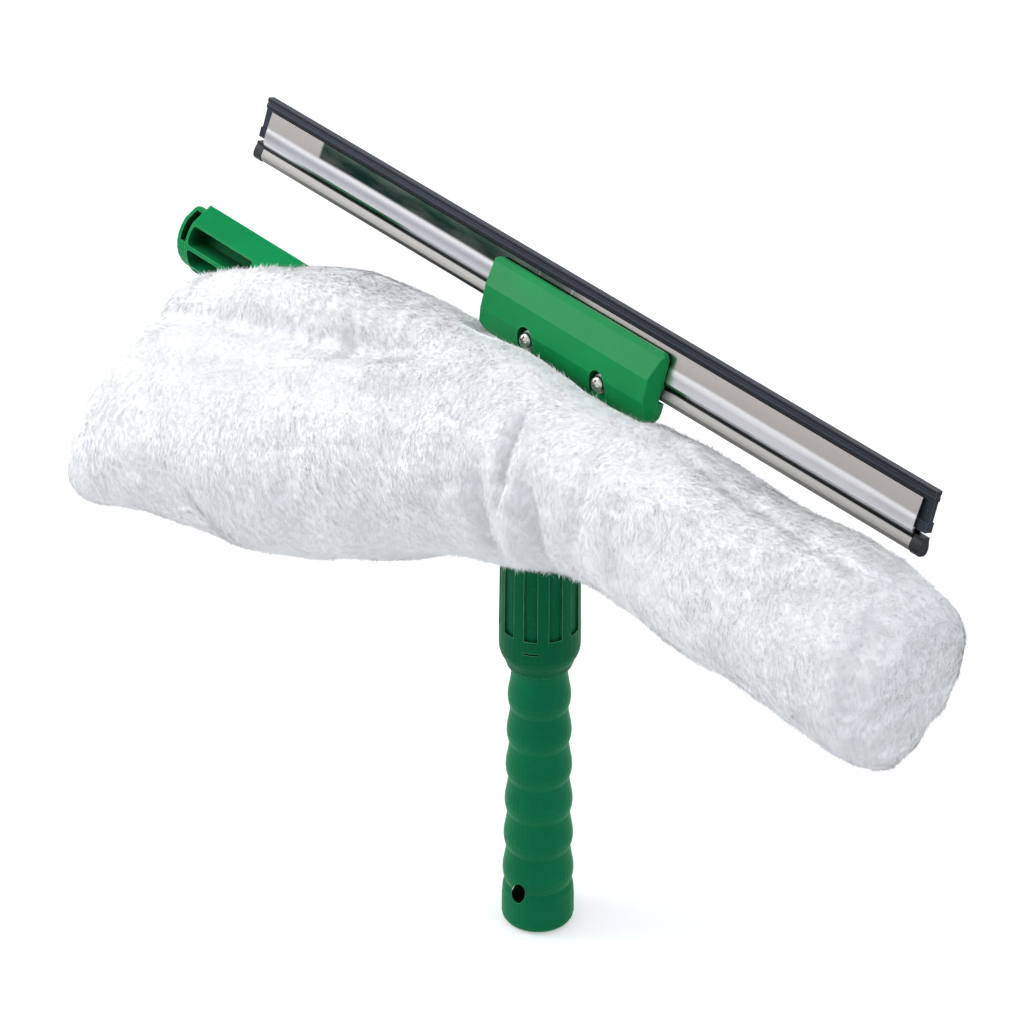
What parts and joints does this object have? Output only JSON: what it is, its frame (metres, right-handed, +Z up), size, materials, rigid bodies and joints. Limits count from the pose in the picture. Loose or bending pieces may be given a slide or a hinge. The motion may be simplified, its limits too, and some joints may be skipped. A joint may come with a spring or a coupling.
{
  "type": "window squeegee",
  "caption": "Window washing tool: a T-bar with a white fleece washing sleeve and a steel squeegee blade clamped above it, on a ringed green plastic grip with a pole socket.",
  "frame": {"origin": "on the handle's axis, in the plane of the grip's butt", "axes": "+Z up the handle towards the crossbar, +X right along the crossbar seen from the front, -Y to the front, where the fleece faces the glass"},
  "size_m": [0.39, 0.1199, 0.2586],
  "materials": {
    "green_plastic": "satin moulded polypropylene",
    "stainless_steel": "bright rolled sheet",
    "plated_steel": "bright zinc plate",
    "blade_rubber": "smooth",
    "black_plastic": "satin",
    "white_fleece": "long soft pile"
  },
  "bodies": {
    "tool": {"handle_grip": "green_plastic", "t_bar": "green_plastic", "squeegee_bracket": "green_plastic", "bracket_screw": "plated_steel", "clamp_nut_left": "plated_steel", "clamp_nut_right": "plated_steel", "scrubber_sleeve": "white_fleece"},
    "front_jaw": {"clamp_jaw": "green_plastic", "clamp_washer_left": "plated_steel", "clamp_washer_right": "plated_steel"},
    "screw_left": {"clamp_screw_left": "plated_steel"},
    "screw_right": {"clamp_screw_right": "plated_steel"},
    "blade": {"squeegee_channel": "stainless_steel", "squeegee_rubber": "blade_rubber", "channel_clip_left": "black_plastic", "channel_clip_right": "black_plastic"}
  },
  "joints": [
    {"name": "clamp_open", "type": "slide", "parent": "tool", "child": "front_jaw", "axis": [0, -0.9517, 0.307], "range_m": [0, 0.0014]},
    {"name": "clamp_screw_left_turn", "type": "hinge", "parent": "front_jaw", "child": "screw_left", "pos_m": [-0.0193, 0.0156, 0.23179], "axis": [0, -0.9517, 0.307], "range_deg": [0, 720]},
    {"name": "clamp_screw_right_turn", "type": "hinge", "parent": "front_jaw", "child": "screw_right", "pos_m": [0.0193, 0.0156, 0.23179], "axis": [0, -0.9517, 0.307], "range_deg": [0, 720]},
    {"name": "channel_slide", "type": "slide", "parent": "tool", "child": "blade", "axis": [1, 0, 0], "range_m": [-0.115, 0.127]}
  ],
  "couplings": [
    {"joint": "clamp_screw_left_turn", "follows": "clamp_open", "rad_per_m": 8976},
    {"joint": "clamp_screw_right_turn", "follows": "clamp_open", "rad_per_m": 8976}
  ]
}
